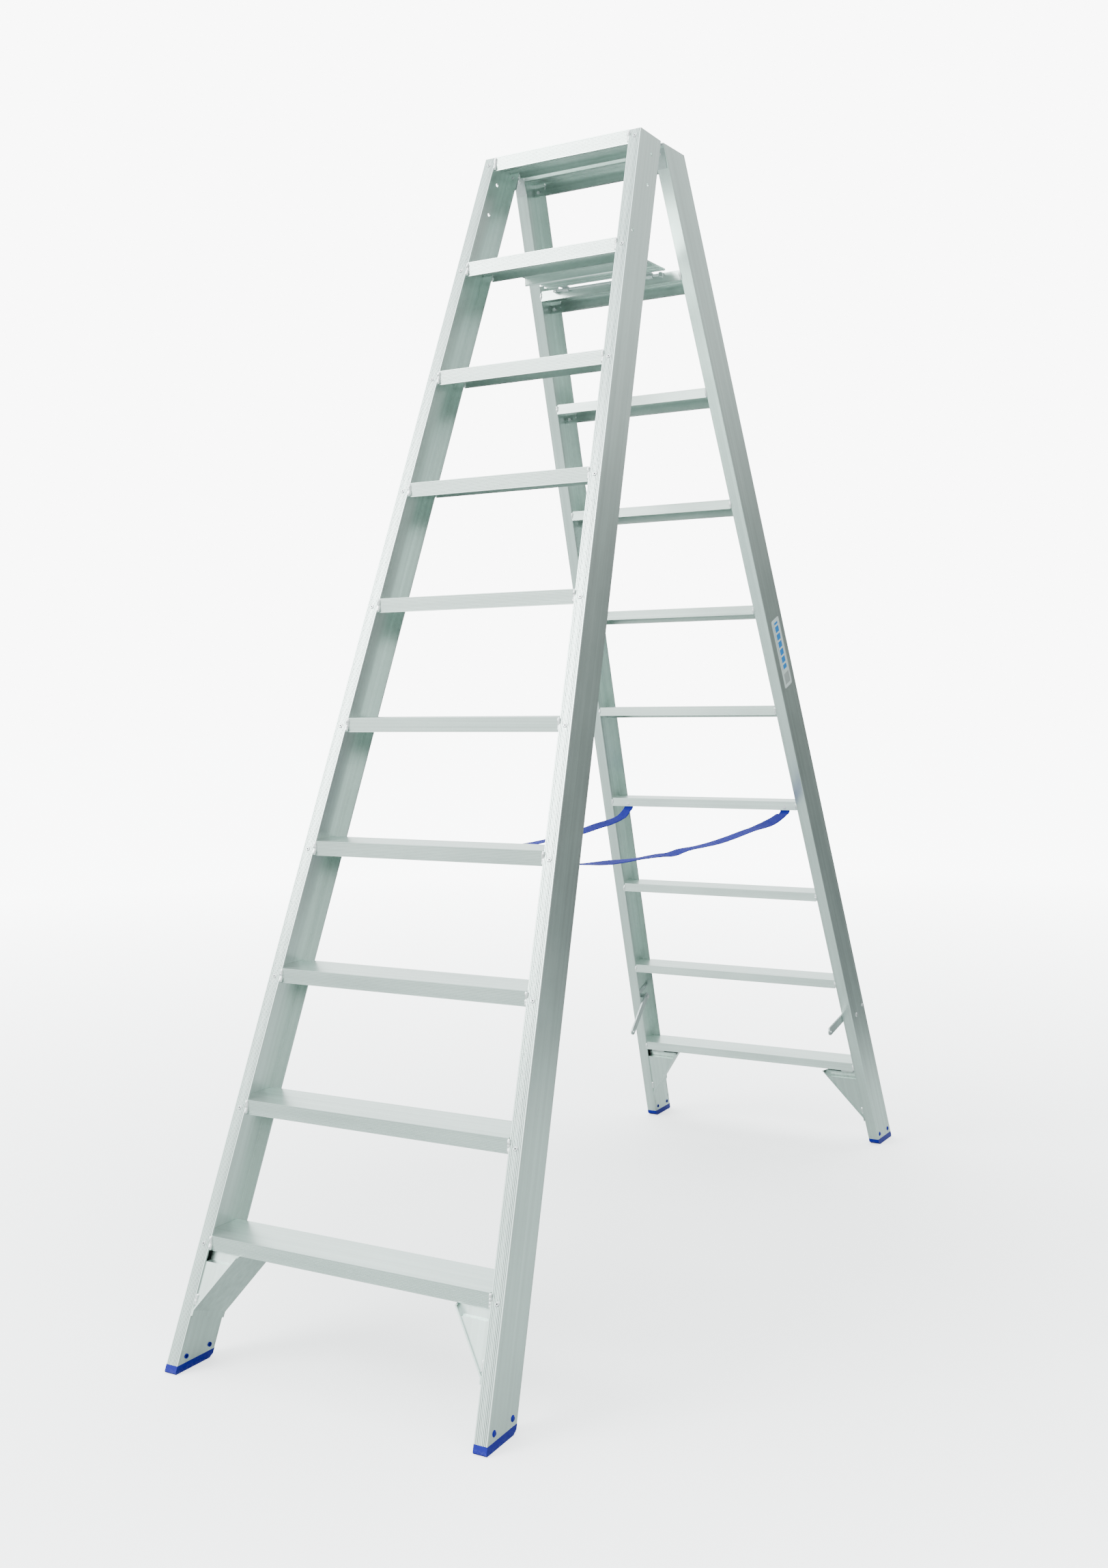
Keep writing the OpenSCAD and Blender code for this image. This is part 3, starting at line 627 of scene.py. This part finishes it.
def mandrels(end):
    """Stubs of the blind rivets' mandrels, which show as dark dots in the heads of the
    tread rivets. The stubs are real; their near-black colour is a painted shadow of the
    mandrel hole. Each is a low dome: a profile of radius against height, turned round the
    rivet's axis, closed to a point above and below."""
    profile = np.array([
        (0.0, 0.00070), (0.00170, 0.00070), (0.00170, 0.00168), (0.00140, 0.00180),
        (0.00070, 0.00188), (0.0, 0.00190),
    ])
    turn = np.arange(12) / 12 * 2 * math.pi
    out = np.array([0.0, math.cos(LEAN), math.sin(LEAN)])
    up, across, _ = stile_axes("rear", "right")
    flat = np.cos(turn)[:, None] * across + np.sin(turn)[:, None] * up
    dome = profile[:, :1, None] * flat[None] + profile[:, 1:, None] * out
    levels = RISE * np.arange(1, TREADS + 1) - RIVET_DROP
    stubs = [
        mirrored(stile_point(-RIVET_IN, STILE_D, z) + dome, end, side)
        for side in ("left", "right") for z in levels
    ]
    piece = beads_piece(f"rivet_mandrels_{end}", stubs, mandrel_painted_hole_shadow)
    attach(piece, f"{end}_frame")


def all_beads(end):
    """Beads of one frame: both ends of every tread, on both faces, then the braces, up
    the stile's flanges and along the tread's underside. Each is a path, the way that it
    stands out and its radius."""
    rng = np.random.default_rng(7 if end == "front" else 19)
    beads = []
    for side in ("left", "right"):
        runs = []
        for level in range(1, TREADS + 1):
            for far in (True, False):
                out = (-0.45, 0.9 if far else -0.9, 0.1)
                runs.append((tread_bead_path(level, far), out, 0.0030 if far else 0.0024))
        for deep, low, high in ((STILE_D - 0.0025, 0.116, 0.136), (0.0025, 0.088, 0.108)):
            z = np.linspace(low, high, 22)
            out = (-0.4, 0.9 if deep > STILE_D / 2 else -0.9, 0.0)
            runs.append((stile_point(-FLANGE_W - 0.0012, deep, z), out, 0.0026))
        for deep, reach in ((STILE_D - 0.0135, 0.052), (0.0175, 0.040)):
            x = np.linspace(-FLANGE_W - 0.004, -FLANGE_W - 0.004 - reach, 44)
            z = RISE - APRON_H - 0.0010 + 0 * x
            out = (0.0, 0.7 if deep > STILE_D / 2 else -0.7, -0.6)
            runs.append((stile_point(x, deep, z), out, 0.0022))
        for path, out, radius in runs:
            ring = bead(path, np.tile(out, (len(path), 1)), radius, rng)
            beads.append(mirrored(ring, end, side))
    piece = beads_piece(f"weld_beads_{end}", beads, weld)
    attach(piece, f"{end}_frame")


for end in ("front", "rear"):
    all_beads(end)
    mandrels(end)


# ---- straps ----


def strap_points(shape):
    """Points of a strap's middle line, from the front tread's lip to the rear's: down
    behind the lip, round under it, then along the hanging shape, given as shares of the
    way to the tread and drops below its top."""
    top = RISE * STRAP_LEVEL
    face = near_y(top) + HEEL_IN + LIP_T + 0.0001 + STRAP_T / 2
    hang = [(share * near_y(top), top - drop / 1000) for share, drop in shape]
    end = [
        (face, top - 0.0040), (face, top - LIP_H - 0.0005),
        (face - 0.0012, top - LIP_H - 0.0038), (face - 0.0050, top - LIP_H - 0.0065),
    ]
    return np.array([(-y, z) for y, z in end] + hang + end[::-1])


def resample(points, count):
    """Smooth line through points at even steps of its length, and the length up to each
    step. Each stretch is the cubic whose slopes at its ends are the weighted means of
    the chords beside them."""
    gaps = np.linalg.norm(np.diff(points, axis=0), axis=1)
    at = np.concatenate([[0], np.cumsum(gaps)])
    slope = np.gradient(points, at, axis=0)
    t = np.linspace(0, at[-1], count * 4)
    i = np.clip(np.searchsorted(at, t, side="right") - 1, 0, len(at) - 2)
    h = (at[i + 1] - at[i])[:, None]
    s = ((t - at[i]) / (at[i + 1] - at[i]))[:, None]
    line = (
        (2 * s**3 - 3 * s**2 + 1) * points[i]
        + (s**3 - 2 * s**2 + s) * h * slope[i]
        + (-2 * s**3 + 3 * s**2) * points[i + 1]
        + (s**3 - s**2) * h * slope[i + 1]
    )
    length = np.concatenate([[0], np.cumsum(np.linalg.norm(np.diff(line, axis=0), axis=1))])
    even = np.linspace(0, length[-1], count)
    return np.stack([np.interp(even, length, line[:, k]) for k in range(2)], axis=1), even


def strap(side, shape, twists):
    """Band of webbing carried along its middle line. At each place the band's width lies
    across the line and is turned about it by the twists, which are given as pairs of the
    share of the length and the turn in half turns. The section is a flat oblong with
    rounded edges."""
    line, length = resample(strap_points(shape), 420)
    run = np.gradient(line, axis=0)
    run = np.concatenate([np.zeros((len(run), 1)), run], axis=1)
    run /= np.linalg.norm(run, axis=1, keepdims=True)
    side_way = np.tile([1.0, 0.0, 0.0], (len(run), 1))
    rise_way = np.cross(side_way, run)
    share = length / length[-1]
    at, half_turns = np.array(twists).T
    i = np.clip(np.searchsorted(at, share, side="right") - 1, 0, len(at) - 2)
    s = np.clip((share - at[i]) / (at[i + 1] - at[i]), 0, 1)
    s = s * s * (3 - 2 * s)
    turn = math.pi * (half_turns[i] * (1 - s) + half_turns[i + 1] * s)
    wide = np.cos(turn)[:, None] * side_way + np.sin(turn)[:, None] * rise_way
    thick = np.cross(run, wide)
    corner = np.linspace(-math.pi / 2, math.pi / 2, 5)
    half, edge = STRAP_W / 2, STRAP_T / 2 * 0.9
    flat = np.linspace(-half + edge, half - edge, 9)
    round_x, round_y = edge * np.cos(corner)[1:-1], edge * np.sin(corner)[1:-1]
    v = np.concatenate([flat, half - edge + round_x[::-1], flat[::-1], -half + edge - round_x])
    w = np.concatenate([edge + 0 * flat, round_y[::-1], -edge + 0 * flat, round_y])
    middle = np.concatenate([np.full((len(line), 1), STRAP_X[side]), line], axis=1)
    ring = middle[:, None] + v[:, None] * wide[:, None] + w[:, None] * thick[:, None]
    rings, sides = ring.shape[:2]
    first, last = (middle[i, None, None].repeat(sides, 1) for i in (0, -1))
    ring = np.concatenate([first, ring, last])
    u = np.concatenate([[0], length, [length[-1]]])
    uv = np.stack([np.repeat(u, sides), np.tile(v, rings + 2)], axis=1)
    points = ring.reshape(-1, 3)
    points[:, 0] *= 1 if side == "right" else -1
    faces = tube_faces(rings + 2, sides)
    piece = mesh_piece(f"webbing_strap_{side}", points, faces, blue_webbing, uv=uv)
    outward(piece, 0.000002)
    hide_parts(f"strap_{side}")
    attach(piece, "front_frame")
    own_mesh(piece)
    return length[-1]


RIGHT_SHAPE = [
    (-0.97, 31), (-0.90, 41), (-0.78, 49), (-0.58, 56), (-0.41, 60), (-0.24, 63),
    (-0.12, 66), (-0.04, 63), (0.12, 63.5), (0.26, 63), (0.42, 59), (0.58, 53),
    (0.72, 49), (0.82, 45), (0.90, 39), (0.97, 31),
]
LEFT_SHAPE = [
    (-0.97, 34), (-0.90, 44), (-0.78, 54), (-0.58, 62), (-0.41, 67), (-0.20, 71),
    (0.02, 74), (0.16, 72.5), (0.30, 71), (0.46, 69), (0.59, 64), (0.70, 58.5),
    (0.82, 54), (0.90, 49), (0.95, 43), (0.978, 35),
]
RIGHT_TWIST = [
    (0.0, 0.0), (0.09, 0.0), (0.20, -0.07), (0.31, 0.0), (0.43, -0.07), (0.54, -0.02),
    (0.66, -0.05), (0.80, -0.04), (0.90, -0.13), (0.955, -0.08), (0.972, 0.0), (1.0, 0.0),
]
LEFT_TWIST = [
    (0.0, 0.0), (0.08, 0.0), (0.18, 0.08), (0.33, 0.01), (0.50, 0.07), (0.61, 0.02),
    (0.74, 0.09), (0.86, 0.12), (0.94, 0.05), (0.97, 0.0), (1.0, 0.0),
]
right_length = strap("right", RIGHT_SHAPE, RIGHT_TWIST)
left_length = strap("left", LEFT_SHAPE, LEFT_TWIST)


# ---- label ----


def label():
    """Foil label on the web of the right rear stile: a thin sheet with rounded corners.
    Its outline is a superellipse in the web's plane, carried out by the foil's thickness
    with a rolled edge."""
    up = stile_axes("rear", "right")[0]
    across = np.array([0.0, math.cos(LEAN), math.sin(LEAN)])
    out = np.cross(across, up)
    out *= math.copysign(1.0, out[0])
    centre = stile_point(0.0, STILE_D - 0.0435, np.array(LABEL_Z))
    turn = np.linspace(0, 2 * math.pi, 96, endpoint=False)
    x = LABEL_L / 2 * np.sign(np.cos(turn)) * np.abs(np.cos(turn)) ** 0.09
    y = LABEL_W / 2 * np.sign(np.sin(turn)) * np.abs(np.sin(turn)) ** 0.09
    sheet = np.array([
        (0.0, -0.0001), (1.0, -0.0001), (1.0, 0.00018), (0.994, 0.00028), (0.5, 0.00028),
        (0.0, 0.00028),
    ])
    grow, lift = sheet.T[:, :, None, None]
    flat = (x[:, None] * up + y[:, None] * across)[None]
    ring = centre + grow * flat + lift * out
    foil = printed_label("printed_label", centre, up, across)
    piece = beads_piece("label", [ring], foil)
    for face in piece.data.polygons:
        face.use_smooth = False
    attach(piece, "rear_frame")


label()


# ---- floor and light ----

FLOOR_HALF, FLOOR_Z = 30.0, -0.0004
floor_points = np.array([(-1, -1, 0), (1, -1, 0), (1, 1, 0), (-1, 1, 0)]) * FLOOR_HALF
floor_points[:, 2] = FLOOR_Z
floor_face = np.array([[0, 1, 2, 3]])
floor = mesh_piece("studio_floor", floor_points, floor_face, floor_finish("studio_paper_painted_glow"), False)


def surroundings():
    """Soft studio walls, seen in the metal: bright to the front left and above, darker at
    the back right, where a screen stands. The camera sees a plain white wall."""
    world = bpy.data.worlds.new("studio")
    world.use_nodes = True
    walls = Shading(world.node_tree)
    way = walls.node("ShaderNodeTexCoord", out="Generated")
    lift = walls.along(way, (0, 0, 1))
    light = walls.along(way, (-0.88, -0.10, 0.46))
    screen = walls.span(walls.along(way, (0.17, 0.985, 0.0)), 0.87, 0.975)
    screen = screen * walls.span(lift.size(), 0.13, 0.25, 1.0, 0.0)
    glow = walls.span(light, -0.55, 0.70, 0.55, 3.2)
    level = glow * (1 - screen * 0.93) * walls.span(lift, -0.4, 0.0, 0.5, 1.0)
    seen = walls.node("ShaderNodeLightPath", out="Is Camera Ray")
    tint = walls.blend(walls.span(lift, 0.0, 0.8), (0.93, 1.0, 0.97), (0.90, 0.98, 1.0))
    back = walls.nodes["Background"]
    shown = walls.blend(seen, tint, (1.0, 1.0, 1.0))
    walls.links.new(shown.socket, back.inputs["Color"])
    walls.links.new((level * (1 - seen) + seen * 9.0).socket, back.inputs["Strength"])
    bpy.context.scene.world = world


surroundings()
softbox("key", (-2.8, -3.8, 4.2), (0, -0.3, 1.2), (2.4, 2.4), 260)
softbox("fill", (3.6, -2.4, 2.4), (0, 0, 1.0), (1.6, 2.6), 40)
softbox("overhead", (0.0, 0.6, 5.4), (0, 0.2, 0.8), (3.4, 3.4), 190)
